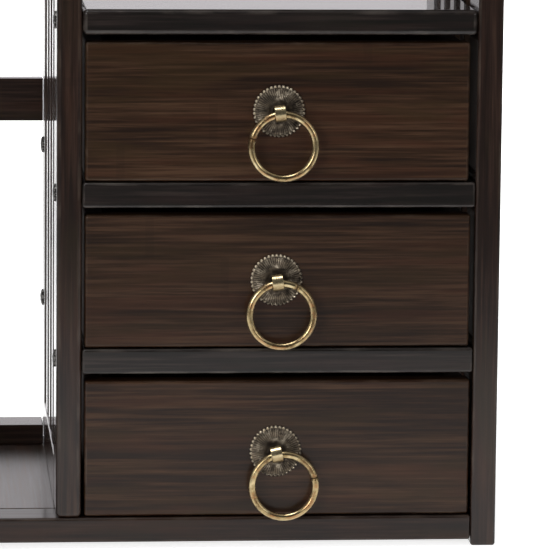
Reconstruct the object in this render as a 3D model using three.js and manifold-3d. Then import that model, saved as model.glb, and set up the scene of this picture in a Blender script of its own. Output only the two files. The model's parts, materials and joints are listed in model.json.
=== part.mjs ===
// Tabletop apothecary cabinet: three drawers with ring pulls under an open niche, beside an open bay.
// Millimetres, +Z up, the front faces -Y. The origin is on the table, at the centre of the whole box.
import * as THREE from 'three';
import { RoundedBoxGeometry } from 'three/addons/geometries/RoundedBoxGeometry.js';
import { mergeVertices } from 'three/addons/utils/BufferGeometryUtils.js';
import Module from 'manifold-3d';

// ---- Driving dimensions ----
const width = 560;
const depth = 210;
const height = 392;
const board = 12; // thickness of shelves, bottom, top and side frames
const columnOpening = 187; // clear width between the partition and the right side
const bayHeights = [70, 67.5, 69.5]; // clear heights of the drawer bays, from the top down
const footDrop = 3; // how far the bottom hangs above the table
const stileDepth = 34; // front-to-back size of a side frame's uprights
const frameRail = 24; // height of a side frame's rails
const slatCount = 3;
const slatWidth = 16;
const slatSetback = 0.3; // each face of a slat behind the faces of its frame
const edgeRound = 1.4; // rounding of every edge that a hand meets
const innerRound = 1; // easing of edges that stay inside
const bottomRail = 24; // front-to-back size of the bottom's solid front rail
const floorRailDepth = 23; // rail lying on the bottom at the back of the open bay
const floorRailHeight = 10;
const crossRailHeight = 22; // rail across the back of the open bay
const crossRailThickness = 10;
const crossRailMiddle = 193; // its middle, above the table
const backPanel = 4; // thin back of the drawer column
const drawerFront = 12; // thickness of a drawer front
const drawerSide = 9; // thickness of drawer sides and back
const drawerFloor = 4; // thickness of a drawer's bottom panel
const floorLift = 4; // a drawer's bottom panel above the lower edge of its sides
const plateRadius = 12.85; // backplate of a pull
const plateRim = 1;
const plateDome = 2.25; // thickness of the backplate at its middle
const ringRadius = 15.2; // pull ring, to the middle of its wire
const ringWire = 1.8; // radius of the wire
const eyeWidth = 5.6; // strap that the ring hangs in
const eyeStrap = 1;
const eyeDrop = 1; // the eye hangs this far under its shank
const shankWidth = 3.2;
const shankThickness = 2;
const tangLength = 7; // each bent-over end of the split pin, inside the drawer
const ringTilt = [6.5, 7.5, 13]; // degrees that each pull hangs turned in its hole, from the top drawer down
const pullShift = [[0.4, 0.4], [-0.7, 0.7], [-0.9, -1.5]]; // each pull off its front's middle, right and up
const screwHead = 4.2; // radius
const screwDome = 1.5;
const screwShank = 2; // radius
const screwLength = 32;
const screwInset = 12; // screws from the front and back edges of the partition

// ---- Named clearances ----
const glueGap = 0.2; // between pieces that are fixed to each other
const frontRecess = 1.5; // drawer fronts behind the edges of the boards
const gapLeft = 1.5; // beside a drawer front
const gapsRight = [3.5, 2.25, 1.25]; // from the top drawer down
const gapUnder = 0.5;
const gapOver = 3.5;
const sideDrop = 2; // drawer sides lower than the front
const boxInset = 0.5; // drawer box narrower than its front, each side
const backClearance = 4; // behind a closed drawer
const wireClearance = 0.75; // round the wire, inside the eye
const holeClearance = 0.3; // round screw shanks and split pins
const plateGap = 0.3; // between a backplate and its drawer front

// ---- Places worked out from them ----
const eyeHole = ringWire + wireClearance;
const eyeRadius = eyeHole + eyeStrap;
const eyeReach = plateGap + plateDome + 0.5 + eyeRadius; // middle of the eye, before a drawer front
const pullReach = eyeReach + eyeRadius - frontRecess;
const front = (pullReach - depth) / 2;
const back = front + depth;
const rightInner = width / 2 - board;
const leftInner = -rightInner;
const partitionRight = rightInner - columnOpening;
const partitionLeft = partitionRight - board;
const floorTop = footDrop + board;
const topUnder = height - board;
const bayBottoms = bayHeights.map((_, row) =>
  floorTop + bayHeights.slice(row + 1).reduce((below, bay) => below + bay + board, 0));
const shelfTop = bayBottoms[0] + bayHeights[0] + board;

// ---- Materials ----
const finish = (color, roughness, metalness) =>
  new THREE.MeshStandardMaterial({ color, roughness, metalness });
const carcassWood = finish(0x33231e, 0.35, 0);
const dividerWood = finish(0x26211f, 0.35, 0);
const drawerWood = finish(0x3f2a20, 0.35, 0);
const boxWood = finish(0x3b322d, 0.5, 0);
const bronze = finish(0x4a4032, 0.45, 0.9);
const antiqueBrass = finish(0x9a7a45, 0.35, 0.95);
const blackSteel = finish(0x161514, 0.4, 0.8);

// ---- Solids ----
const wasm = await Module();
wasm.setup();

const toSolid = (geometry) => {
  const bare = geometry.clone();
  bare.deleteAttribute('normal');
  bare.deleteAttribute('uv');
  const merged = mergeVertices(bare, 1e-4);
  return new wasm.Manifold(new wasm.Mesh({
    numProp: 3,
    vertProperties: new Float32Array(merged.attributes.position.array),
    triVerts: new Uint32Array(merged.index.array),
  }));
};

const toGeometry = (solid) => {
  const mesh = solid.getMesh();
  const geometry = new THREE.BufferGeometry();
  geometry.setAttribute('position', new THREE.BufferAttribute(new Float32Array(mesh.vertProperties), 3));
  geometry.setIndex(new THREE.BufferAttribute(new Uint32Array(mesh.triVerts), 1));
  return geometry;
};

// A box from its lowest to its highest corner, with all its edges rounded.
const boxBetween = ([x0, y0, z0], [x1, y1, z1], radius, steps) => {
  const size = [x1 - x0, y1 - y0, z1 - z0];
  const limit = Math.min(radius, Math.min(...size) * 0.45);
  const geometry = new RoundedBoxGeometry(...size, steps, limit);
  geometry.translate((x0 + x1) / 2, (y0 + y1) / 2, (z0 + z1) / 2);
  return geometry;
};

// A round bar along X or Y, from a start point.
const roundBar = (radius, length, axis, [x, y, z]) => {
  const geometry = new THREE.CylinderGeometry(radius, radius, length, 12);
  if (axis === 'x') {
    geometry.rotateZ(Math.PI / 2);
    geometry.translate(x + length / 2, y, z);
  } else {
    geometry.translate(x, y + length / 2, z);
  }
  return geometry;
};

const drilled = (geometry, holes) =>
  toGeometry(holes.reduce((solid, hole) => solid.subtract(toSolid(hole)), toSolid(geometry)));

const cabinet = new THREE.Group();
cabinet.name = 'apothecary_cabinet';

const add = (name, geometry, material, parent = cabinet) => {
  const mesh = new THREE.Mesh(geometry, material);
  mesh.name = name;
  parent.add(mesh);
  return mesh;
};

// ---- Screws through the partition into the shelf and the dividers ----
const boardLevels = [
  ['shelf', shelfTop - board / 2],
  ['upper', bayBottoms[0] - board / 2],
  ['lower', bayBottoms[1] - board / 2],
];
const screwPlaces = boardLevels.flatMap(([level, z]) => [
  { name: `${level}_front_screw`, y: front + screwInset, z },
  { name: `${level}_rear_screw`, y: back - screwInset, z },
]);
const screwHoles = screwPlaces.map(({ y, z }) =>
  roundBar(screwShank + holeClearance, screwLength + 2, 'x', [partitionLeft - 1, y, z]));

const addScrews = () => {
  for (const { name, y, z } of screwPlaces) {
    const profile = [new THREE.Vector2(0, -screwLength), new THREE.Vector2(screwShank, -screwLength)];
    profile.push(new THREE.Vector2(screwShank, glueGap), new THREE.Vector2(screwHead, glueGap));
    profile.push(new THREE.Vector2(screwHead * 0.86, screwDome * 0.65));
    profile.push(new THREE.Vector2(screwHead * 0.5, screwDome), new THREE.Vector2(0, screwDome));
    const geometry = new THREE.LatheGeometry(profile, 16);
    geometry.rotateZ(Math.PI / 2);
    geometry.translate(partitionLeft, y, z);
    add(name, geometry, blackSteel);
  }
};

// ---- Side frames: two uprights, two rails and a row of slats ----
const addFrame = (name, x0, footZ, railZ, holes) => {
  const x1 = x0 + board;
  const topZ = topUnder - glueGap;
  const rearStile = back - stileDepth;
  const stile = (part, y0) => {
    const plain = boxBetween([x0, y0, footZ], [x1, y0 + stileDepth, topZ], edgeRound, 2);
    add(`${name}_${part}`, holes.length ? drilled(plain, holes) : plain, carcassWood);
  };
  stile('front_stile', front);
  stile('rear_stile', rearStile);
  const railFront = front + stileDepth + glueGap;
  const railBack = rearStile - glueGap;
  const rail = (part, z0) => add(
    `${name}_${part}`,
    boxBetween([x0, railFront, z0], [x1, railBack, z0 + frameRail], innerRound, 1),
    carcassWood,
  );
  rail('bottom_rail', railZ);
  rail('top_rail', topZ - frameRail);
  const gap = (rearStile - front - stileDepth - slatCount * slatWidth) / (slatCount + 1);
  for (let i = 0; i < slatCount; i += 1) {
    const y0 = front + stileDepth + gap + i * (slatWidth + gap);
    add(
      `${name}_slat_${i + 1}`,
      boxBetween(
        [x0 + slatSetback, y0, railZ + frameRail + glueGap],
        [x1 - slatSetback, y0 + slatWidth, topZ - frameRail - glueGap],
        innerRound,
        1,
      ),
      carcassWood,
    );
  }
};

addFrame('left_side', -width / 2, 0, footDrop, []);
addFrame('partition', partitionLeft, floorTop + glueGap, floorTop + glueGap, screwHoles);
addFrame('right_side', rightInner, 0, footDrop, []);
addScrews();

// ---- Bottom, top and the boards of the drawer column ----
const bottomPanelFront = front + bottomRail + glueGap;
add(
  'bottom_front_rail',
  boxBetween(
    [leftInner + glueGap, front, footDrop],
    [rightInner - glueGap, front + bottomRail, floorTop],
    edgeRound,
    2,
  ),
  carcassWood,
);
add(
  'bottom_panel',
  boxBetween(
    [leftInner + glueGap, bottomPanelFront, footDrop],
    [rightInner - glueGap, back, floorTop],
    innerRound,
    1,
  ),
  carcassWood,
);
add(
  'top_board',
  boxBetween([-width / 2, front, topUnder], [width / 2, back, height], edgeRound, 2),
  carcassWood,
);

const columnBoard = (name, topZ, boardBack) => {
  const low = [partitionRight + glueGap, front, topZ - board];
  const high = [rightInner - glueGap, boardBack, topZ];
  add(name, drilled(boxBetween(low, high, edgeRound, 2), screwHoles), dividerWood);
};
const panelFront = back - backPanel;
columnBoard('drawer_shelf', shelfTop, back);
columnBoard('upper_divider', bayBottoms[0], panelFront - glueGap);
columnBoard('lower_divider', bayBottoms[1], panelFront - glueGap);
add(
  'drawer_back_panel',
  boxBetween(
    [partitionRight + glueGap, panelFront, floorTop + glueGap],
    [rightInner - glueGap, back, shelfTop - board - glueGap],
    innerRound / 2,
    1,
  ),
  boxWood,
);

// ---- Rails across the back of the open bay ----
const bayRail = (name, depthOfRail, z0, z1) => add(
  name,
  boxBetween(
    [leftInner + glueGap, back - depthOfRail, z0],
    [partitionLeft - glueGap, back, z1],
    innerRound,
    1,
  ),
  carcassWood,
);
bayRail('rear_floor_rail', floorRailDepth, floorTop + glueGap, floorTop + glueGap + floorRailHeight);
bayRail(
  'rear_cross_rail',
  crossRailThickness,
  crossRailMiddle - crossRailHeight / 2,
  crossRailMiddle + crossRailHeight / 2,
);

// ---- Drawers ----
const frontX0 = partitionRight + gapLeft;
const drawerY = front + frontRecess;
const pinHole = Math.hypot(shankWidth, shankThickness) / 2 + holeClearance;

const addDrawer = (name, row) => {
  const frontX1 = rightInner - gapsRight[row];
  const z0 = bayBottoms[row] + gapUnder;
  const z1 = bayBottoms[row] + bayHeights[row] - gapOver;
  const pullX = (frontX0 + frontX1) / 2 + pullShift[row][0];
  const pinZ = (z0 + z1) / 2 + pullShift[row][1];
  const boardBack = drawerY + drawerFront;
  const plain = boxBetween([frontX0, drawerY, z0], [frontX1, boardBack, z1], edgeRound, 2);
  add(
    `${name}_front`,
    drilled(plain, [roundBar(pinHole, drawerFront + 2, 'y', [pullX, drawerY - 1, pinZ])]),
    drawerWood,
  );
  const boxX0 = frontX0 + boxInset;
  const boxX1 = frontX1 - boxInset;
  const boxY0 = boardBack + glueGap;
  const boxY1 = panelFront - backClearance;
  const boxTop = z1 - sideDrop;
  const inner0 = boxX0 + drawerSide + glueGap;
  const inner1 = boxX1 - drawerSide - glueGap;
  const wall = (part, low, high) => add(`${name}_${part}`, boxBetween(low, high, innerRound, 1), boxWood);
  wall('left_side', [boxX0, boxY0, z0], [boxX0 + drawerSide, boxY1, boxTop]);
  wall('right_side', [boxX1 - drawerSide, boxY0, z0], [boxX1, boxY1, boxTop]);
  wall('back', [inner0, boxY1 - drawerSide, z0], [inner1, boxY1, boxTop]);
  wall(
    'bottom',
    [inner0, boxY0, z0 + floorLift],
    [inner1, boxY1 - drawerSide - glueGap, z0 + floorLift + drawerFloor],
  );
  return [pullX, pinZ];
};

// ---- Pulls: a domed backplate, a split-pin eye and a ring ----
const plateGeometry = () => {
  const hole = pinHole;
  const profile = [[hole, 0], [plateRadius - 0.4, 0]];
  profile.push([plateRadius, plateRim / 2], [plateRadius - 0.4, plateRim]);
  profile.push([plateRadius * 0.62, (plateRim + plateDome) / 2], [plateRadius * 0.3, plateDome]);
  profile.push([hole, plateDome], [hole, 0]);
  const geometry = new THREE.LatheGeometry(profile.map(([r, y]) => new THREE.Vector2(r, y)), 32);
  geometry.rotateX(Math.PI);
  return geometry;
};

const eyeGeometry = () => {
  const strap = new THREE.Shape();
  strap.absarc(0, 0, eyeRadius, 0, Math.PI * 2, false);
  const hole = new THREE.Path();
  hole.absarc(0, 0, eyeHole, 0, Math.PI * 2, true);
  strap.holes.push(hole);
  const loop = new THREE.ExtrudeGeometry(strap, { depth: eyeWidth, bevelEnabled: false, curveSegments: 24 });
  loop.translate(0, 0, -eyeWidth / 2);
  loop.rotateY(Math.PI / 2);
  loop.rotateX(Math.PI / 2);
  const pinEnd = eyeReach + drawerFront + plateGap + eyeStrap;
  const shankBack = pinEnd - eyeHole - eyeStrap / 2;
  const shank = new THREE.BoxGeometry(shankWidth, shankBack, shankThickness);
  shank.translate(0, eyeHole + eyeStrap / 2 + shankBack / 2, eyeDrop);
  const tangs = new THREE.BoxGeometry(shankThickness, eyeStrap, 2 * tangLength);
  tangs.translate(0, pinEnd - eyeStrap / 2, eyeDrop);
  return toGeometry(toSolid(loop).add(toSolid(shank)).add(toSolid(tangs)));
};

const addPull = (name, [pullX, pinZ], tilt) => {
  const plate = add(`${name}_backplate`, plateGeometry(), bronze);
  plate.position.set(pullX, drawerY - plateGap, pinZ);
  const hanging = new THREE.Group();
  hanging.position.set(pullX, drawerY - eyeReach, pinZ);
  hanging.rotation.y = -THREE.MathUtils.degToRad(tilt);
  cabinet.add(hanging);
  const eye = add(`${name}_eye`, eyeGeometry(), antiqueBrass, hanging);
  eye.position.z = -eyeDrop;
  const torus = new THREE.TorusGeometry(ringRadius, ringWire, 8, 36);
  const ring = add(`${name}_ring`, torus, antiqueBrass, hanging);
  ring.rotation.x = Math.PI / 2;
  ring.position.z = -eyeDrop - ringRadius;
};

['top', 'middle', 'bottom'].forEach((place, row) => {
  const pullPlace = addDrawer(`${place}_drawer`, row);
  addPull(`${place}_drawer`, pullPlace, ringTilt[row]);
});

export default cabinet;
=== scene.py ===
"""Looks of a tabletop apothecary cabinet in dark lacquered bamboo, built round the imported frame.

Every wooden board, pull and screw is a finer mesh that stands for its CAD node. Lengths are in metres.
"""

import json
import math
import random

import bpy
import numpy as np
from mathutils import Matrix, Vector

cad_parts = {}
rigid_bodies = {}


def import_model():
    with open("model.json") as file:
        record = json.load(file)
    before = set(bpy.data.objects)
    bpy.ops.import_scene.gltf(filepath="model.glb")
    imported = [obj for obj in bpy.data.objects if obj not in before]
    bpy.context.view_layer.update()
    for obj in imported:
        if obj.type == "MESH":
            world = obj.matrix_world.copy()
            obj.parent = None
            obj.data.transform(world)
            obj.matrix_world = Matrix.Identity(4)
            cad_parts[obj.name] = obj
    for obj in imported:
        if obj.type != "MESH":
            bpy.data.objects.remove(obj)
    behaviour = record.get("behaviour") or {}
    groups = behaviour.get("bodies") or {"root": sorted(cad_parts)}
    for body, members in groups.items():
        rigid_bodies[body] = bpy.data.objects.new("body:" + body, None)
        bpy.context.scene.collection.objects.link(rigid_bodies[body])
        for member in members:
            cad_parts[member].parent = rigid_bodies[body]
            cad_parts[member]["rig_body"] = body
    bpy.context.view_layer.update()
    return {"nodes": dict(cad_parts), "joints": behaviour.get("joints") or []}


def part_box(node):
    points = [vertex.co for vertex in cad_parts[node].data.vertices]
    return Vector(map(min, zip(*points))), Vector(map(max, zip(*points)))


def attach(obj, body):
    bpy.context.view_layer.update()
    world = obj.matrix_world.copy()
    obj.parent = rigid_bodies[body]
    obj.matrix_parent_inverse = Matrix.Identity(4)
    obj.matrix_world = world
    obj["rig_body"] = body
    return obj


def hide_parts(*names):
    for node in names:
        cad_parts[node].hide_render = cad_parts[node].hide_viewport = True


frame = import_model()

MM = 0.001
ROWS = ("top", "middle", "bottom")
SIDE_FRAMES = ("left_side", "partition", "right_side")
scene = bpy.context.scene
scene.view_settings.view_transform = "Standard"

# ---- Camera: a long lens from the front, a little to the left and above ----
CAMERA_PLACE = Vector((-0.0018, -2.1519, 0.4468))
CAMERA_YAW = math.radians(4.860)
CAMERA_PITCH = math.radians(8.696)
CAMERA_ROLL = math.radians(0.557)
CAMERA_LENS = 287.5  # on a sensor 36 mm wide


def make_camera():
    ahead = Vector((
        math.sin(CAMERA_YAW) * math.cos(CAMERA_PITCH),
        math.cos(CAMERA_YAW) * math.cos(CAMERA_PITCH),
        -math.sin(CAMERA_PITCH),
    ))
    level = Vector((math.cos(CAMERA_YAW), -math.sin(CAMERA_YAW), 0))
    upright = level.cross(ahead)
    right = math.cos(CAMERA_ROLL) * level + math.sin(CAMERA_ROLL) * upright
    up = math.cos(CAMERA_ROLL) * upright - math.sin(CAMERA_ROLL) * level
    lens = bpy.data.cameras.new("photo_camera")
    lens.lens = CAMERA_LENS
    lens.clip_start = 0.1
    camera = bpy.data.objects.new("photo_camera", lens)
    turn = Matrix((right, up, -ahead)).transposed()
    camera.matrix_world = Matrix.Translation(CAMERA_PLACE) @ turn.to_4x4()
    scene.collection.objects.link(camera)
    scene.camera = camera


# ---- Materials ----
class Shader:
    """A Principled material, with short calls that add nodes and link them."""

    def __init__(self, name, **constants):
        self.material = bpy.data.materials.new(name)
        self.material.use_nodes = True
        self.tree = self.material.node_tree
        self.surface = self.tree.nodes["Principled BSDF"]
        for socket, value in constants.items():
            self.surface.inputs[socket.replace("_", " ")].default_value = value

    def add(self, kind, inputs, output=0, **settings):
        node = self.tree.nodes.new(kind)
        for key, value in settings.items():
            setattr(node, key, value)
        for key, value in inputs.items():
            if isinstance(value, bpy.types.NodeSocket):
                self.tree.links.new(value, node.inputs[key])
            else:
                node.inputs[key].default_value = value
        return node.outputs[output]

    def math(self, operation, *values):
        return self.add("ShaderNodeMath", dict(enumerate(values)), operation=operation)

    def attribute(self, name, output):
        return self.add("ShaderNodeAttribute", {}, output, attribute_name=name)

    def noise(self, place, scale, detail=2.0, roughness=0.5):
        """Noise whose spots are 1/scale metres, along each axis."""
        stretched = self.add("ShaderNodeVectorMath", {0: place, 1: scale}, operation="MULTIPLY")
        inputs = {"Vector": stretched, "Scale": 1.0, "Detail": detail, "Roughness": roughness}
        return self.add("ShaderNodeTexNoise", inputs)

    def between(self, value, low, high):
        """0 below low, 1 above high, and smooth in between."""
        inputs = {"Value": value, "From Min": low, "From Max": high}
        return self.add("ShaderNodeMapRange", inputs, interpolation_type="SMOOTHSTEP")

    def mix(self, share, first, second):
        inputs = {0: share, 6: first, 7: second}
        return self.add("ShaderNodeMix", inputs, 2, data_type="RGBA")

    def ramp(self, value, *stops):
        output = self.add("ShaderNodeValToRGB", {"Fac": value})
        bar = output.node.color_ramp.elements
        while len(bar) < len(stops):
            bar.new(0.5)
        for element, (place, colour) in zip(bar, stops):
            element.position = place
            element.color = (*colour, 1)
        return output

    def wire(self, **sockets):
        for socket, value in sockets.items():
            self.tree.links.new(value, self.surface.inputs[socket.replace("_", " ")])
        return self.material


STRIP_WIDTH = 19 * MM  # one lamella of the glued bamboo board
KNUCKLE_PITCH = 0.26  # between two knuckles of a lamella
KNUCKLE_WIDTH = 4 * MM
WOOD_RELIEF = 0.04 * MM
FILM_RELIEF = 0.05 * MM
METAL_RELIEF = 0.05 * MM
OXIDE_RELIEF = 0.04 * MM

# How many spots a metre holds, along, across and through a board
FIBRES = (55, 2300, 2300)
STREAKS = (17, 600, 600)
BANDS = (7, 140, 140)
CLOUDS = (9, 24, 24)
EMBERS = (12, 130, 130)
OLIVES = (16, 90, 90)
# edge rubs and painted edge highlights are broken up at this scale
EDGE_RUBS_AND_HIGHLIGHTS = (60, 160, 160)
LACQUER_WAVES = (120, 420, 420)


def bamboo(name, dark, middle, light, ember, olive, wear_and_highlight, gloss, lacquer, stain=1.0, pores=0.12):
    """Laminated bamboo: long fibres, lamellae of slightly different tone, faint knuckles and lacquer.

    The grain attribute holds places along, across and through the board. The stain scales every tone,
    gloss is the roughness of the lacquer, and pores is how strongly the wood shows through its surface.
    """
    tones = (dark, middle, light, ember, olive, wear_and_highlight)
    dark, middle, light, ember, olive, wear_and_highlight = (tuple(c * stain for c in tone) for tone in tones)
    s = Shader(name, Coat_Weight=lacquer, Coat_Roughness=gloss, Coat_IOR=1.4, Specular_IOR_Level=0.12)
    grain = s.attribute("grain", "Vector")
    split = s.add("ShaderNodeSeparateXYZ", {0: grain}, 0).node
    along, across = split.outputs[0], split.outputs[1]
    fibre = s.noise(grain, FIBRES)
    streak = s.noise(grain, STREAKS, 4.0, 0.62)
    band = s.noise(grain, BANDS)
    cloud = s.noise(grain, CLOUDS)
    lamella = s.math("FLOOR", s.math("DIVIDE", across, STRIP_WIDTH))
    own = s.add("ShaderNodeTexWhiteNoise", {"W": lamella}, noise_dimensions="1D")
    tone = s.math("MULTIPLY_ADD", streak, 1.0, -0.34)
    tone = s.math("MULTIPLY_ADD", band, 0.34, tone)
    tone = s.math("MULTIPLY_ADD", cloud, 0.25, tone)
    tone = s.math("MULTIPLY_ADD", own, 0.09, tone)
    colour = s.ramp(tone, (0.36, dark), (0.5, middle), (0.69, light))
    warmth = s.between(s.noise(grain, EMBERS), 0.50, 0.66)
    colour = s.mix(s.math("MULTIPLY", warmth, 0.5), colour, (*ember, 1))
    drab = s.between(s.noise(grain, OLIVES), 0.52, 0.68)
    colour = s.mix(s.math("MULTIPLY", drab, 0.5), colour, (*olive, 1))
    vessels = s.between(fibre, 0.58, 0.72)
    colour = s.mix(s.math("MULTIPLY", vessels, 0.5), colour, (*dark, 1))
    walk = s.math("ADD", s.math("DIVIDE", along, KNUCKLE_PITCH), s.math("MULTIPLY", own, 7.3))
    knuckle = s.math("LESS_THAN", s.math("FRACT", walk), KNUCKLE_WIDTH / KNUCKLE_PITCH)
    colour = s.mix(s.math("MULTIPLY", knuckle, 0.16), colour, (*dark, 1))
    # Painted highlight, partly wear: rounded edges take the lightest tone, broken up by noise, as stain
    # rubbed thin and as a painted highlight along the edge.
    rub_and_highlight = s.between(s.noise(grain, EDGE_RUBS_AND_HIGHLIGHTS, 3.0), 0.42, 0.75)
    rub_and_highlight = s.math("MULTIPLY", rub_and_highlight, s.attribute("edge", "Fac"))
    colour = s.mix(s.math("MULTIPLY", rub_and_highlight, 0.6), colour, (*wear_and_highlight, 1))
    roughness = s.math("MULTIPLY_ADD", streak, 0.3, 0.3)
    height = s.math("MULTIPLY_ADD", fibre, 0.4, streak)
    relief = {"Strength": 0.3, "Distance": WOOD_RELIEF, "Height": height}
    under = s.add("ShaderNodeBump", relief)
    waves = s.noise(grain, LACQUER_WAVES, 1.0)
    film = {"Strength": pores, "Distance": FILM_RELIEF, "Height": s.math("ADD", waves, streak)}
    over = s.add("ShaderNodeBump", film)
    return s.wire(Base_Color=colour, Roughness=roughness, Normal=under, Coat_Normal=over)


def aged_metal(name, dark, middle, bright, tarnish, patch, base_roughness, bare_from):
    """Aged brass or bronze: bare on the high spots and on painted highlights, brown in the hollows and in
    painted shade, with a fine cast skin.

    A metre holds patch blotches, and the metal is bare where their noise is over bare_from.
    """
    s = Shader(name, Metallic=1.0)
    place = s.add("ShaderNodeTexCoord", {}, "Object")
    blotch = s.noise(place, (patch, patch, patch), 4.0, 0.65)
    speck = s.noise(place, (2600, 2600, 2600), 2.0)
    aged = s.ramp(blotch, (0.36, dark), (0.52, middle), (bare_from, bright))
    brown = s.between(s.noise(place, (patch * 0.6, patch * 0.6, patch * 1.3), 3.0), 0.50, 0.62)
    aged = s.mix(s.math("MULTIPLY", brown, 0.75), aged, (*tarnish, 1))
    # Bare bright metal where it is worn, and also where a piece paints a highlight.
    bare = s.math("MULTIPLY", s.attribute("wear_and_highlight", "Fac"), s.between(blotch, 0.2, 0.5))
    colour = s.mix(bare, aged, (*bright, 1))
    # Dark patina in the hollows, and also painted shade where a piece asks for it.
    patina_and_shade = s.attribute("patina_and_shade", "Fac")
    colour = s.mix(s.math("MULTIPLY", patina_and_shade, 0.85), colour, (*dark, 1))
    roughness = s.math("MULTIPLY_ADD", blotch, -0.3, base_roughness + 0.15)
    roughness = s.math("MULTIPLY_ADD", patina_and_shade, 0.25, roughness)
    pits = {"Strength": 0.25, "Distance": METAL_RELIEF, "Height": s.math("ADD", speck, blotch)}
    return s.wire(Base_Color=colour, Roughness=roughness, Normal=s.add("ShaderNodeBump", pits))


def black_oxide():
    """The blackened steel of the screws, rubbed bare on the rim of the head."""
    s = Shader("black_screw", Metallic=0.9)
    place = s.add("ShaderNodeTexCoord", {}, "Object")
    mottle = s.noise(place, (900, 900, 900), 3.0)
    colour = s.ramp(mottle, (0.3, (0.012, 0.011, 0.011)), (0.75, (0.05, 0.045, 0.042)))
    bare = s.math("MULTIPLY", s.attribute("wear_and_highlight", "Fac"), s.between(mottle, 0.45, 0.6))
    colour = s.mix(bare, colour, (0.22, 0.21, 0.2, 1))
    roughness = s.math("MULTIPLY_ADD", mottle, 0.3, 0.28)
    relief = {"Strength": 0.2, "Distance": OXIDE_RELIEF, "Height": mottle}
    return s.wire(Base_Color=colour, Roughness=roughness, Normal=s.add("ShaderNodeBump", relief))


# The last tone of each wood is painted on rounded edges: partly stain rubbed thin, partly a painted
# highlight.
WALNUT = dict(dark=(0.012, 0.006, 0.004), middle=(0.025, 0.012, 0.008), light=(0.054, 0.028, 0.018),
              ember=(0.044, 0.017, 0.008), olive=(0.026, 0.017, 0.008), wear_and_highlight=(0.080, 0.056, 0.042))
EBONY = dict(dark=(0.006, 0.005, 0.004), middle=(0.010, 0.007, 0.006), light=(0.026, 0.018, 0.015),
             ember=(0.017, 0.009, 0.007), olive=(0.012, 0.010, 0.007), wear_and_highlight=(0.075, 0.062, 0.053))
CHESTNUT = dict(dark=(0.014, 0.006, 0.003), middle=(0.032, 0.014, 0.006), light=(0.072, 0.035, 0.017),
                ember=(0.050, 0.017, 0.007), olive=(0.032, 0.0165, 0.005), wear_and_highlight=(0.085, 0.054, 0.036))
SMOKED = dict(dark=(0.018, 0.015, 0.013), middle=(0.036, 0.030, 0.027), light=(0.070, 0.059, 0.052),
              ember=(0.050, 0.032, 0.023), olive=(0.040, 0.034, 0.026), wear_and_highlight=(0.090, 0.075, 0.063))
CARCASS = bamboo("carcass_bamboo", gloss=0.08, lacquer=0.80, stain=0.80, **WALNUT)
PANEL = bamboo("panel_bamboo", gloss=0.24, lacquer=0.8, pores=0.6, **WALNUT)
RAIL = bamboo("rail_bamboo", gloss=0.12, lacquer=0.55, stain=0.62, **WALNUT)
DIVIDER = bamboo("divider_bamboo", gloss=0.06, lacquer=0.8, **EBONY)
DRAWERS = {
    row: bamboo(f"{row}_drawer_bamboo", gloss=0.20, lacquer=0.45, stain=stain, pores=0.2, **CHESTNUT)
    for row, stain in (("top", 0.94), ("middle", 0.74), ("bottom", 0.82))
}
BOX = bamboo("drawer_box_wood", gloss=0.35, lacquer=0.5, **SMOKED)
BRONZE = aged_metal(
    "bronze_plate", dark=(0.018, 0.014, 0.011), middle=(0.070, 0.055, 0.041), bright=(0.72, 0.62, 0.47),
    tarnish=(0.11, 0.085, 0.060), patch=300, base_roughness=0.34, bare_from=0.95,
)
BRASS = aged_metal(
    "antique_brass", dark=(0.12, 0.068, 0.030), middle=(0.34, 0.245, 0.112), bright=(0.64, 0.525, 0.31),
    tarnish=(0.34, 0.17, 0.070), patch=190, base_roughness=0.25, bare_from=0.70,
)
OXIDE = black_oxide()


# ---- Meshes ----
def make_piece(node, points, faces, material, fields, normals=None, crease=None):
    """A mesh that stands for a CAD node, rides on its body and carries named fields for its material."""
    name = node + "_finished"
    mesh = bpy.data.meshes.new(name)
    mesh.from_pydata([tuple(p) for p in points], [], faces)
    for field, values in fields.items():
        values = np.asarray(values, np.float32)
        vector = values.ndim == 2
        layer = mesh.attributes.new(field, "FLOAT_VECTOR" if vector else "FLOAT", "POINT")
        layer.data.foreach_set("vector" if vector else "value", values.ravel())
    mesh.polygons.foreach_set("use_smooth", [True] * len(faces))
    if crease is not None:
        mesh.set_sharp_from_angle(angle=math.radians(crease))
    if normals is not None:
        mesh.normals_split_custom_set_from_vertices([tuple(n) for n in normals])
    mesh.materials.append(material)
    piece = bpy.data.objects.new(name, mesh)
    scene.collection.objects.link(piece)
    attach(piece, frame["nodes"][node]["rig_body"])
    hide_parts(node)
    return piece


ROUND = 1.4 * MM  # rounding of every edge that a hand meets
SHELF_ROUND = 2.4 * MM  # the shelf over the drawers and the partition are softer
EASED = 1.0 * MM  # edges that stay inside
THIN = 0.5 * MM  # thin boards and the rails at the back
TURN_STEPS = 4  # faces in an eighth of a turn
CELL = 30 * MM  # longest face on the flat of a board, about
FLAT_NORMAL = 0.9999  # over this, a normal lies along an axis
MERGE_STEPS = 1e7  # points nearer than one metre over this are the same point


def marks(low, high, radius):
    """Places along one axis of a rounded box: rounded end, flat in cells, rounded end."""
    turn = [radius * math.tan(math.pi / 4 * i / TURN_STEPS) for i in range(1, TURN_STEPS + 1)]
    start, end = low + radius, high - radius
    cells = max(1, round((end - start) / CELL))
    flat = [start + (end - start) * i / cells for i in range(cells + 1)]
    return [start - t for t in reversed(turn)] + flat + [end + t for t in turn]


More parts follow.
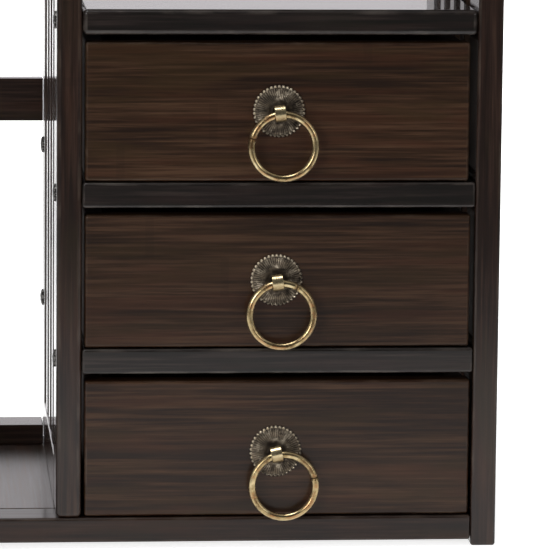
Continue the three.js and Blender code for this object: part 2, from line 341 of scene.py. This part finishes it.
def rounded_box(low, high, radius):
    """Points, faces, exact normals and an edge field (1 on rounded stretches) of a rounded box."""
    radius = min(radius, min(high - low) * 0.45)
    ticks = [marks(low[axis], high[axis], radius) for axis in range(3)]
    points, normals, edges, faces, seen = [], [], [], [], {}

    def corner(place):
        core = Vector([min(max(place[a], low[a] + radius), high[a] - radius) for a in range(3)])
        normal = (place - core).normalized()
        point = core + normal * radius
        key = tuple(round(c * MERGE_STEPS) for c in point)
        if key not in seen:
            seen[key] = len(points)
            points.append(point)
            normals.append(normal)
            edges.append(0.0 if max(abs(c) for c in normal) > FLAT_NORMAL else 1.0)
        return seen[key]

    for axis in range(3):
        first, second = (axis + 1) % 3, (axis + 2) % 3
        for side, level in ((-1, low[axis]), (1, high[axis])):
            grid = []
            for a in ticks[first]:
                row = []
                for b in ticks[second]:
                    place = Vector((0, 0, 0))
                    place[axis], place[first], place[second] = level, a, b
                    row.append(corner(place))
                grid.append(row)
            for i in range(len(grid) - 1):
                for j in range(len(grid[i]) - 1):
                    quad = [grid[i][j], grid[i + 1][j], grid[i + 1][j + 1], grid[i][j + 1]]
                    faces.append(quad if side > 0 else quad[::-1])
    return points, faces, normals, edges


luck = random.Random(7)


def board(node, grain_axis, material, radius=ROUND):
    """A wooden piece that fills its CAD node's box, with its grain along one axis (0, 1, 2 is X, Y, Z)."""
    low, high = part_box(node)
    points, faces, normals, edges = rounded_box(low, high, radius)
    size = high - low
    others = sorted((a for a in range(3) if a != grain_axis), key=lambda a: -size[a])
    order = [grain_axis, *others]
    start = [luck.uniform(0, 40) for _ in range(3)]
    grain = [[start[i] + p[a] for i, a in enumerate(order)] for p in points]
    return make_piece(node, points, faces, material, {"grain": grain, "edge": edges}, normals)


def make_carcass():
    for side in SIDE_FRAMES:
        for part in ("front_stile", "rear_stile"):
            softened = SHELF_ROUND if side == "partition" else ROUND
            board(f"{side}_{part}", 2, CARCASS, softened)
        for part in ("bottom_rail", "top_rail"):
            board(f"{side}_{part}", 1, CARCASS, EASED)
        for part in ("slat_1", "slat_2", "slat_3"):
            board(f"{side}_{part}", 2, CARCASS, EASED)
    board("top_board", 0, CARCASS)
    board("bottom_front_rail", 0, RAIL)
    board("bottom_panel", 1, PANEL, EASED)
    board("rear_floor_rail", 0, CARCASS, THIN)
    board("rear_cross_rail", 0, CARCASS, THIN)
    board("drawer_shelf", 0, DIVIDER, SHELF_ROUND)
    board("upper_divider", 0, DIVIDER)
    board("lower_divider", 0, DIVIDER)
    board("drawer_back_panel", 0, BOX, THIN)


def make_drawer(row):
    board(f"{row}_drawer_front", 0, DRAWERS[row])
    for part, grain_axis in (("left_side", 1), ("right_side", 1), ("back", 0), ("bottom", 0)):
        board(f"{row}_drawer_{part}", grain_axis, BOX, EASED)


# ---- Pulls ----
TEETH = 38  # round the rim of a backplate
FLUTES = 57
PLATE_COLUMNS = 456
PLATE_REACH = 0.975  # of the CAD plate's radius
PLATE_LIT_TURN = math.radians(-50)  # painted highlight: the rim is painted brighter at the upper left, where the light falls, clockwise from the top
# Painted shade: the share of that brightness that the side away from the light keeps.
PLATE_SHADED_SIDE = 0.3
PLATE_HOLE = 2.2 * MM
RING_COLUMNS, RING_ROWS = 144, 20
RING_SLIT = {"top": 159, "middle": 54, "bottom": 2}  # degrees round the ring from its right
SLIT_WIDTH = 0.35 * MM
SLIT_TAPER = 0.16  # how much thinner the wire is filed at the slit
SLIT_FILED = 0.35 * MM  # length of that taper
SLIT_GRIME = 1.6 * MM  # the wire is dark so far from the slit


def smooth(value, low, high):
    t = min(max((value - low) / (high - low), 0.0), 1.0)
    return t * t * (3 - 2 * t)


def tube_faces(rows, columns, closed_rows, closed_columns):
    """Quads of a grid of points that goes round itself in one or both ways."""
    faces = []
    for i in range(rows if closed_rows else rows - 1):
        for j in range(columns if closed_columns else columns - 1):
            a, b = i * columns, (i + 1) % rows * columns
            k = (j + 1) % columns
            faces.append([a + j, a + k, b + k, b + j])
    return faces


def backplate(row):
    """A stamped round plate: finely fluted dome, toothed rim, plain boss round the hole.

    Its profile is pairs of a radius and a height, where 1 is the thickness of the CAD plate.
    """
    low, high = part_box(f"{row}_drawer_backplate")
    middle = (low + high) / 2
    radius = (high.x - low.x) / 2 * PLATE_REACH
    thick = high.y - low.y
    rim = radius * 0.90
    boss = [(PLATE_HOLE, 0.80), (PLATE_HOLE * 1.1, 0.93), (radius * 0.22, 1.0), (radius * 0.27, 0.99)]
    boss += [(radius * 0.31, 0.84), (radius * 0.34, 0.82)]
    dome = [(radius * f, 0.84 - 0.50 * ((f - 0.34) / 0.53) ** 1.6) for f in np.linspace(0.38, 0.87, 12)]
    edge = [(rim, 0.30), (radius * 0.925, 0.38), (radius * 0.95, 0.44), (radius * 0.975, 0.36)]
    edge += [(radius * 0.995, 0.16), (radius * 0.985, 0.0)]
    back = [(radius * 0.93, 0.0), (rim, 0.03), (radius * 0.5, 0.38), (radius * 0.3, 0.55), (PLATE_HOLE, 0.6)]
    face = boss + dome + edge
    points, wear_and_highlight, patina_and_shade = [], [], []
    for index, (r, level) in enumerate(face + back):
        for j in range(PLATE_COLUMNS):
            turn = 2 * math.pi * j / PLATE_COLUMNS
            tooth = abs(math.cos(TEETH * turn / 2)) ** 0.8
            flute = abs(math.cos(FLUTES * turn / 2))
            fluted = smooth(r, radius * 0.36, radius * 0.60) if index < len(face) else 0.0
            fluted *= 1 - smooth(r, radius * 0.86, radius * 0.90)
            toothed = smooth(r, radius * 0.89, radius * 0.94)
            reach = r - toothed * (1 - tooth) * radius * 0.055
            height = level * thick - (fluted * (1 - flute) * 0.08 + toothed * (1 - tooth) * 0.26) * thick
            height = max(height, 0.0)
            points.append(middle + Vector((reach * math.sin(turn), 0, reach * math.cos(turn))))
            points[-1].y = high.y - height
            # Painted highlight and shade: crests are brighter towards the upper left and duller on the far
            # side, as the light falls. The bright crests themselves are real wear.
            rub_and_highlight = smooth(math.cos(turn - PLATE_LIT_TURN), -0.5, 0.7)
            lit_side = PLATE_SHADED_SIDE + (1 - PLATE_SHADED_SIDE) * rub_and_highlight
            wear_and_highlight.append(lit_side * max(toothed * (0.2 + 0.8 * tooth ** 1.5), fluted * flute ** 4 * 0.12))
            groove = max(fluted * (1 - flute) ** 0.8 * 0.5, toothed * (1 - tooth) * 0.7)
            # Painted shadow: the middle of the plate round the hole is darkened where the eye and ring shade
            # it. The darker grooves are real patina.
            patina_and_shade.append(max(groove, 1 - smooth(r, radius * 0.30, radius * 0.55)))
    faces = tube_faces(len(face + back), PLATE_COLUMNS, True, True)
    make_piece(
        f"{row}_drawer_backplate", points, faces, BRONZE,
        {"wear_and_highlight": wear_and_highlight, "patina_and_shade": patina_and_shade}, crease=50,
    )


def hanging_frame(row):
    """Hinge point, direction to the right along the hinge, and the direction in which the ring hangs."""
    swing = next(j for j in frame["joints"] if j["name"] == f"{row}_ring_swing")
    right = -Vector(swing["axis"]).normalized()
    down = Vector((right.z, 0, -right.x))
    return Vector(swing["pos_m"]), right, down


def ring(row):
    """A cast ring, closed but for a thin slit, a little uneven as hand-finished brass is."""
    centre, right, down = hanging_frame(row)
    low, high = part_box(f"{row}_drawer_ring")
    wire = (high.y - low.y) / 2
    radius = (high.z - low.z) / 2 - wire
    centre = centre + down * radius
    slit = math.radians(RING_SLIT[row])
    open_half = SLIT_WIDTH / 2 / radius
    points, wear_and_highlight, patina_and_shade = [], [], []
    for i in range(RING_COLUMNS):
        share = i / (RING_COLUMNS - 1)
        turn = slit + open_half + share * (2 * math.pi - 2 * open_half)
        outward = right * math.cos(turn) - down * math.sin(turn)
        end = min(share, 1 - share) * 2 * math.pi * radius
        eased = 1 - SLIT_TAPER * (1 - smooth(end, 0, SLIT_FILED))
        uneven = 1 - 0.012 * (1 + math.sin(5 * turn + slit)) - 0.006 * (1 + math.sin(13 * turn))
        for j in range(RING_ROWS):
            spin = 2 * math.pi * j / RING_ROWS
            side = outward * math.cos(spin) + Vector((0, -1, 0)) * math.sin(spin)
            points.append(centre + outward * radius + side * wire * eased * uneven)
            # Painted highlight, partly wear: the wire is bright on its outer and inner edges and darker on
            # its front and back faces.
            wear_and_highlight.append(0.85 * abs(math.cos(spin)) ** 1.5)
            patina_and_shade.append(0.9 * (1 - smooth(end, 0, SLIT_GRIME)))
    faces = tube_faces(RING_COLUMNS, RING_ROWS, False, True)
    faces.append(list(range(RING_ROWS)))
    faces.append([(RING_COLUMNS - 1) * RING_ROWS + j for j in reversed(range(RING_ROWS))])
    faces = [face[::-1] for face in faces]
    make_piece(
        f"{row}_drawer_ring", points, faces, BRASS,
        {"wear_and_highlight": wear_and_highlight, "patina_and_shade": patina_and_shade}, crease=60,
    )


STRAP = 0.95 * MM  # thickness of the split pin's strap
STRAP_WIDTH = 5.3 * MM
STRAP_CHAMFER = 0.22 * MM
STRAP_CORNERS = 8  # of its section, a flat bar with its edges broken
LEG_WIDTH = 3.2 * MM
LEG_SPACE = 0.03 * MM  # from the middle plane to the inner face of each leg
LEG_BEND = 0.8 * MM  # where a leg turns into its tang
EYE_DROP = 1.0 * MM  # the hinge is this far under the split pin's legs
EYE_LIFT = 0.6 * MM  # the ring's wire rests low in the loop, whose middle is this far over the hinge
EYE_TALLER = 0.35 * MM  # the loop is an oval, taller than it is deep
TANG = 7.0 * MM  # each bent-over end, behind the drawer front
CURVE_STEPS = 5  # between two points of the strap's path


def eye_path(loop, leg_end):
    """The strap's middle line as (depth, height) from the hinge: tang, leg, loop, leg, tang."""
    gap = STRAP / 2 + LEG_SPACE
    bend = LEG_BEND
    path = [(leg_end, EYE_DROP + TANG), (leg_end, EYE_DROP + gap + bend)]
    path += [(leg_end - bend * 0.3, EYE_DROP + gap + bend * 0.3), (leg_end - bend, EYE_DROP + gap)]
    path += [(loop * 2.6, EYE_DROP + gap), (loop * 1.45, EYE_DROP + gap + 0.2 * MM)]
    for degrees in range(52, 310, 12):
        a = math.radians(degrees)
        path.append((loop * math.cos(a), EYE_LIFT + (loop + EYE_TALLER) * math.sin(a)))
    path += [(loop * 1.45, EYE_DROP - gap - 0.7 * MM), (loop * 2.6, EYE_DROP - gap)]
    path += [(leg_end - bend, EYE_DROP - gap), (leg_end - bend * 0.3, EYE_DROP - gap - bend * 0.3)]
    path += [(leg_end, EYE_DROP - gap - bend), (leg_end, EYE_DROP - TANG)]
    return path


def spline(path, steps):
    """A Catmull-Rom curve through the points of a path."""
    ends = [path[0], *path, path[-1]]
    curve = []
    for k in range(1, len(ends) - 2):
        p0, p1, p2, p3 = (np.array(ends[k + d]) for d in (-1, 0, 1, 2))
        for i in range(steps):
            t = i / steps
            curve.append(0.5 * (2 * p1 + (p2 - p0) * t + (2 * p0 - 5 * p1 + 4 * p2 - p3) * t * t
                                + (3 * p1 - p0 - 3 * p2 + p3) * t ** 3))
    return curve + [np.array(path[-1])]


def eye(row):
    """The split pin that a ring hangs in: one strap bent round the wire, both ends through the front."""
    centre, right, down = hanging_frame(row)
    low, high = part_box(f"{row}_drawer_eye")
    loop = centre.y - low.y - STRAP / 2
    curve = spline(eye_path(loop, high.y - centre.y - STRAP / 2), CURVE_STEPS)
    half, chamfer = STRAP / 2, STRAP_CHAMFER
    points, wear_and_highlight, patina_and_shade = [], [], []
    for k, place in enumerate(curve):
        before, after = curve[max(k - 1, 0)], curve[min(k + 1, len(curve) - 1)]
        heading = (after - before) / np.linalg.norm(after - before)
        outward = np.array((-heading[1], heading[0]))
        depth = place[0]
        width = STRAP_WIDTH + (LEG_WIDTH - STRAP_WIDTH) * smooth(depth, loop * 0.6, loop * 2.0)
        wide = width / 2
        outline = [(wide - chamfer, half), (wide, half - chamfer)]
        outline += [(wide, chamfer - half), (wide - chamfer, -half)]
        outline += [(-x, -y) for x, y in outline]
        for across, through in outline:
            y, z = place + outward * through
            points.append(centre + right * across + Vector((0, y, 0)) - down * z)
            # Painted shade: the lower half of the strap is duller and darker, so that its top reads as lit.
            # The strap's edges are brighter as wear, and the legs get darker towards the drawer front.
            low_down = 1 - smooth(place[1], -loop * 0.5, loop * 0.3)
            wear_and_highlight.append((1.0 if abs(across) > wide - chamfer * 1.2 else 0.7) * (1 - 0.6 * low_down))
            patina_and_shade.append(max(0.8 * smooth(depth, loop * 0.5, loop * 1.6), 0.45 * low_down))
    faces = tube_faces(len(curve), STRAP_CORNERS, False, True)
    faces.append(list(range(STRAP_CORNERS)))
    faces.append([(len(curve) - 1) * STRAP_CORNERS + j for j in reversed(range(STRAP_CORNERS))])
    make_piece(
        f"{row}_drawer_eye", points, faces, BRASS,
        {"wear_and_highlight": wear_and_highlight, "patina_and_shade": patina_and_shade}, crease=35,
    )


# ---- Screws through the partition ----
THREAD_PITCH = 1.6 * MM
THREAD_DEPTH = 0.45 * MM
THREAD_STEPS = 8  # rows in one turn of the thread
RECESS_DEPTH = 0.9 * MM
SCREW_DOME = 1.5 * MM
SCREW_SHANK = 2.0 * MM  # radius
SCREW_POINT = 3 * MM
SCREW_COLUMNS = 64
DOME_ROWS = 30


def cross_recess(y, z):
    """How deep a cross-head recess is at a place on the head, from 0 to 1."""
    arms = [(abs(y), abs(z)), (abs(z), abs(y))]
    return max((1 - smooth(thin, 0.35 * MM, 0.6 * MM)) * (1 - smooth(far, 1.3 * MM, 2.1 * MM))
               for thin, far in arms)


def screw(node):
    """A domed black screw that lies along X: cross-head recess, thread and point."""
    low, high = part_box(node)
    centre = (low + high) / 2
    head = (high.y - low.y) / 2
    dome, shank = SCREW_DOME, SCREW_SHANK
    turn_of_cross = luck.uniform(0, math.pi / 2)
    rows = [(head * f, dome * math.sqrt(1 - (0.93 * f) ** 2)) for f in np.linspace(0.02, 0.97, DOME_ROWS)]
    rows += [(head, dome * 0.22), (head * 0.99, 0.0)]
    rubbed_rows = len(rows)
    rows.append((shank * 1.1, -0.1 * MM))
    first_thread = len(rows)
    length = high.x - low.x
    thread_rows = int((length - dome - 5 * MM) / THREAD_PITCH * THREAD_STEPS)
    rows += [(shank, -0.5 * MM - k * THREAD_PITCH / THREAD_STEPS) for k in range(thread_rows)]
    tip = length - dome
    rows += [(shank * f, -tip + SCREW_POINT * f) for f in (0.8, 0.55, 0.3, 0.05)]
    points, wear_and_highlight = [], []
    for index, (r, level) in enumerate(rows):
        for j in range(SCREW_COLUMNS):
            turn = 2 * math.pi * j / SCREW_COLUMNS
            y, z = r * math.cos(turn), r * math.sin(turn)
            height = level
            if index < DOME_ROWS:
                turned = turn + turn_of_cross
                height -= RECESS_DEPTH * cross_recess(r * math.cos(turned), r * math.sin(turned))
            elif index > first_thread:
                phase = (level / THREAD_PITCH + j / SCREW_COLUMNS) % 1.0
                thin = 1 - THREAD_DEPTH / shank * abs(2 * phase - 1)
                y, z = y * thin, z * thin
            points.append(Vector((low.x + dome - height, centre.y + y, centre.z + z)))
            wear_and_highlight.append(smooth(r, head * 0.7, head * 0.95) if index < rubbed_rows else 0.2)
    faces = tube_faces(len(rows), SCREW_COLUMNS, False, True)
    faces.append(list(range(SCREW_COLUMNS)))
    faces.append([(len(rows) - 1) * SCREW_COLUMNS + j for j in reversed(range(SCREW_COLUMNS))])
    make_piece(node, points, faces, OXIDE, {"wear_and_highlight": wear_and_highlight}, crease=40)


# ---- Studio: pale floor, soft lights, white surroundings ----
GLOW = 0.80
GLOW_SEEN = 0.62  # of the far floor, which stays pale to look at but sends no light to the cabinet
GLOW_FULL = 0.28  # metres from the middle of the cabinet
GLOW_FADED = 1.15
GLOW_OVAL = (0.7, 1, 0)  # the glow reaches further to the sides than to the front and back
FLOOR_HALF = 12.0  # metres from its middle to an edge
MIRRORED_FRONT = 0.05  # brightness of the surroundings, as glossy surfaces reflect them
MIRRORED_ROUND = 0.42
SURROUNDINGS = (0.08, 0.08, 0.082, 1)  # as they light everything else
FRONT_FULL, FRONT_NONE = -0.85, -0.25  # Y of a direction that is all front, and of one that isn't
CABINET = (0.05, -0.1, 0.2)  # where the near lights aim, on the cabinet's front


def make_floor():
    """Plain white paper that glows a little round the cabinet, so that no shadow pools there."""
    half = FLOOR_HALF
    mesh = bpy.data.meshes.new("floor")
    corners = [(-half, -half, 0), (half, -half, 0), (half, half, 0), (-half, half, 0)]
    mesh.from_pydata(corners, [], [(0, 1, 2, 3)])
    paper = Shader("floor_paper", Roughness=0.9, Specular_IOR_Level=0.0, Emission_Color=(1, 1, 1, 1))
    place = paper.add("ShaderNodeTexCoord", {}, "Object")
    mottle = paper.noise(place, (3, 3, 3), 3.0)
    tone = paper.ramp(mottle, (0.3, (0.80, 0.80, 0.80)), (0.7, (0.83, 0.83, 0.83)))
    oval = paper.add("ShaderNodeVectorMath", {0: place, 1: GLOW_OVAL}, operation="MULTIPLY")
    away = paper.add("ShaderNodeVectorMath", {0: oval}, "Value", operation="LENGTH")
    faded = paper.between(away, GLOW_FULL, GLOW_FADED)
    glow = paper.math("MULTIPLY_ADD", faded, -GLOW, GLOW)
    looked_at = paper.add("ShaderNodeLightPath", {}, "Is Camera Ray")
    glow = paper.math("MULTIPLY_ADD", paper.math("MULTIPLY", faded, looked_at), GLOW_SEEN, glow)
    mesh.materials.append(paper.wire(Base_Color=tone, Emission_Strength=glow))
    floor = bpy.data.objects.new("floor", mesh)
    scene.collection.objects.link(floor)


def soft_light(name, place, aim, width, height, radiance, colour=(1, 1, 1), spread=180):
    """A softbox of a given brightness, which the camera doesn't see. Its spread is in degrees."""
    light = bpy.data.lights.new(name, "AREA")
    light.shape = "RECTANGLE"
    light.size, light.size_y = width, height
    light.energy = radiance * math.pi * width * height
    light.color = colour
    light.spread = math.radians(spread)
    lamp = bpy.data.objects.new(name, light)
    lamp.location = place
    lamp.rotation_euler = (Vector(aim) - Vector(place)).to_track_quat("-Z", "Y").to_euler()
    lamp.visible_camera = False
    scene.collection.objects.link(lamp)


def make_world():
    """White to the camera; for reflections, dark in front and light all round the rest."""
    world = bpy.data.worlds.new("studio")
    world.use_nodes = True
    nodes, links = world.node_tree.nodes, world.node_tree.links
    background = nodes["Background"]
    background.inputs["Strength"].default_value = 1.0
    path = nodes.new("ShaderNodeLightPath")
    heading = nodes.new("ShaderNodeTexCoord")
    split = nodes.new("ShaderNodeSeparateXYZ")
    links.new(heading.outputs["Generated"], split.inputs[0])
    round_the_back = nodes.new("ShaderNodeMapRange")
    round_the_back.interpolation_type = "SMOOTHSTEP"
    round_the_back.inputs["From Min"].default_value = FRONT_FULL
    round_the_back.inputs["From Max"].default_value = FRONT_NONE
    links.new(split.outputs["Y"], round_the_back.inputs["Value"])

    def mix(share, first, second):
        node = nodes.new("ShaderNodeMix")
        node.data_type = "RGBA"
        for index, value in enumerate((share, first, second)):
            socket = node.inputs[(0, 6, 7)[index]]
            if isinstance(value, bpy.types.NodeSocket):
                links.new(value, socket)
            else:
                socket.default_value = value
        return node.outputs[2]

    front, elsewhere = ((level, level, level, 1) for level in (MIRRORED_FRONT, MIRRORED_ROUND))
    mirrored = mix(round_the_back.outputs["Result"], front, elsewhere)
    lit = mix(path.outputs["Is Glossy Ray"], SURROUNDINGS, mirrored)
    seen = mix(path.outputs["Is Camera Ray"], lit, (1, 1, 1, 1))
    links.new(seen, background.inputs["Color"])
    scene.world = world


make_camera()
make_world()
make_floor()
soft_light("key", (-1.6, -2.4, 1.0), CABINET, 1.2, 1.2, 0.44, spread=35)
soft_light("fill", (1.9, -2.3, 0.8), CABINET, 1.0, 1.0, 0.18, spread=35)
soft_light("top", (-0.35, -0.45, 2.1), CABINET, 1.2, 0.7, 0.50, spread=40)
soft_light("overhead", (0.2, 2.4, 2.5), (0.2, 2.4, 0), 5.0, 3.6, 1.55, spread=80)
soft_light("backdrop", (0.3, 3.2, 0.9), (0.3, 0, 0.5), 5.0, 2.4, 0.54, (1.0, 0.925, 0.975))

make_carcass()
for row in ROWS:
    make_drawer(row)
    backplate(row)
    eye(row)
    ring(row)
for level in ("shelf", "upper", "lower"):
    screw(f"{level}_front_screw")
    screw(f"{level}_rear_screw")
